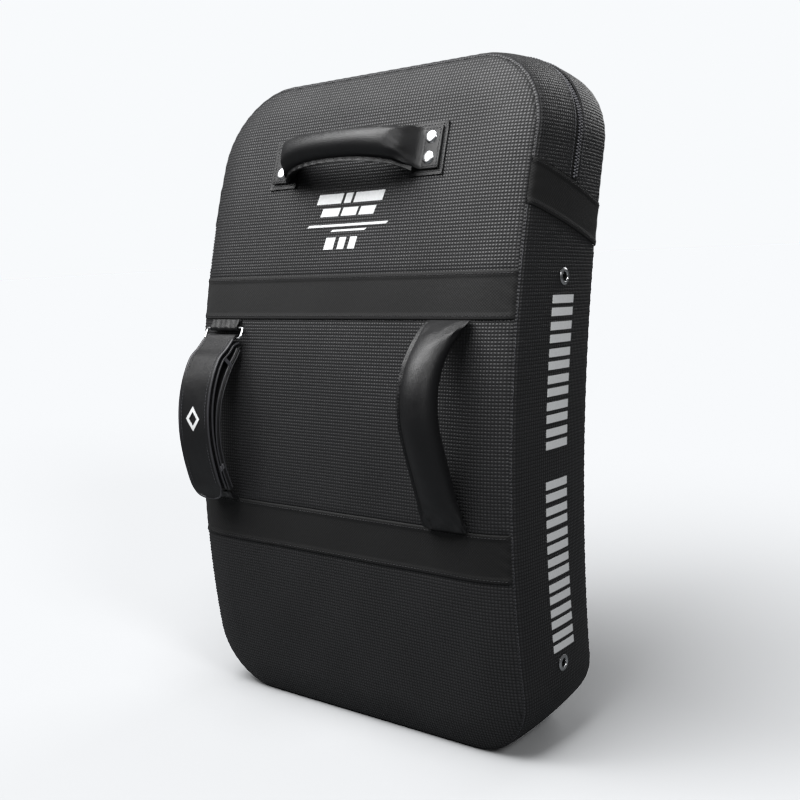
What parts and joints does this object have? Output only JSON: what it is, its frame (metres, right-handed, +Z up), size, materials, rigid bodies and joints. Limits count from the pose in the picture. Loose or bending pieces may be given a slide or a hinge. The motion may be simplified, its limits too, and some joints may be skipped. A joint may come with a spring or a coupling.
{
  "type": "kick shield",
  "caption": "Curved rectangular kick shield: layered foam in a zipped embossed leather cover, with a riveted carry handle, a padded grip handle and an adjustable arm strap.",
  "frame": {"origin": "middle of the bounding box, on the flat lower end that the shield stands on", "axes": "+Z up along the shield, -Y towards the holder (the side with the handles), +Y towards the striker, +X to the right as the holder's side is seen"},
  "size_m": [0.47, 0.3058, 0.7444],
  "materials": {
    "embossed_leather": "black synthetic leather, embossed with a fine square grid",
    "woven_band": "black woven nylon, matt",
    "smooth_leather": "smooth black synthetic leather, satin",
    "firm_foam": "dense closed-cell foam",
    "soft_foam": "soft open-cell foam",
    "core_foam": "medium polyurethane foam",
    "nickel": "bright nickel plate",
    "zip_fabric": "woven zip tape",
    "zip_nylon": "black nylon coil",
    "black_metal": "black lacquered zinc",
    "hook_and_loop": "black hook and loop tape"
  },
  "bodies": {
    "shield": {"arm_strap_anchor_tab": "smooth_leather", "arm_strap_carrier": "smooth_leather", "arm_strap_keeper_tab": "smooth_leather", "arm_strap_loop_patch": "hook_and_loop", "arm_strap_pad": "smooth_leather", "arm_strap_ring": "nickel", "carry_handle_left_patch": "smooth_leather", "carry_handle_left_tab": "smooth_leather", "carry_handle_right_patch": "smooth_leather", "carry_handle_right_tab": "smooth_leather", "core_foam_block": "core_foam", "eyelet_left_lower": "nickel", "eyelet_left_upper": "nickel", "eyelet_right_lower": "nickel", "eyelet_right_upper": "nickel", "eyelet_washer_left_lower": "nickel", "eyelet_washer_left_upper": "nickel", "eyelet_washer_right_lower": "nickel", "eyelet_washer_right_upper": "nickel", "grip_handle_lower_tab": "smooth_leather", "grip_handle_upper_tab": "smooth_leather", "holder_face_lower_panel": "embossed_leather", "holder_face_middle_panel": "embossed_leather", "holder_face_upper_panel": "embossed_leather", "holder_foam_layer": "soft_foam", "impact_foam_layer": "firm_foam", "left_gusset_band": "woven_band", "lower_face_band": "woven_band", "lower_gusset": "embossed_leather", "right_gusset_band": "woven_band", "rivet_left_lower": "nickel", "rivet_left_upper": "nickel", "rivet_right_lower": "nickel", "rivet_right_upper": "nickel", "rivet_washer_left_lower": "nickel", "rivet_washer_left_upper": "nickel", "rivet_washer_right_lower": "nickel", "rivet_washer_right_upper": "nickel", "strike_face_cover": "embossed_leather", "upper_face_band": "woven_band", "upper_gusset_front": "embossed_leather", "upper_gusset_rear": "embossed_leather", "zip_coil_front": "zip_nylon", "zip_coil_rear": "zip_nylon", "zip_end_stop": "nickel", "zip_tape_front": "zip_fabric", "zip_tape_rear": "zip_fabric"},
    "carry_handle": {"carry_handle_sleeve": "smooth_leather", "carry_handle_core": "soft_foam"},
    "grip_handle": {"grip_handle_sleeve": "smooth_leather", "grip_handle_core": "soft_foam"},
    "strap_flap": {"arm_strap_flap": "smooth_leather", "arm_strap_hook_patch": "hook_and_loop"},
    "zip_slider": {"zip_slider": "black_metal"},
    "zip_pull": {"zip_pull_tab": "black_metal"}
  },
  "joints": [
    {"name": "carry_handle_swing", "type": "hinge", "parent": "shield", "child": "carry_handle", "pos_m": [0, -0.0347, 0.64612], "axis": [1, 0, 0], "range_deg": [-55, 55], "stiffness_Nm_per_rad": 0.8},
    {"name": "grip_handle_swing", "type": "hinge", "parent": "shield", "child": "grip_handle", "pos_m": [0.158, -0.07938, 0.4666], "axis": [0, 0.0988, 0.9951], "range_deg": [-20, 20], "stiffness_Nm_per_rad": 1.5},
    {"name": "strap_flap_peel", "type": "hinge", "parent": "shield", "child": "strap_flap", "pos_m": [-0.174, -0.08785, 0.4447], "axis": [-1, 0, 0], "range_deg": [0, 120]},
    {"name": "zip_slider_slide", "type": "slide", "parent": "shield", "child": "zip_slider", "axis": [1, 0, 0], "range_m": [0, 0.248]},
    {"name": "zip_pull_swing", "type": "hinge", "parent": "zip_slider", "child": "zip_pull", "pos_m": [-0.1258, 0.08872, 0.7424], "axis": [0, 0.996, -0.0889], "range_deg": [0, 165]}
  ]
}
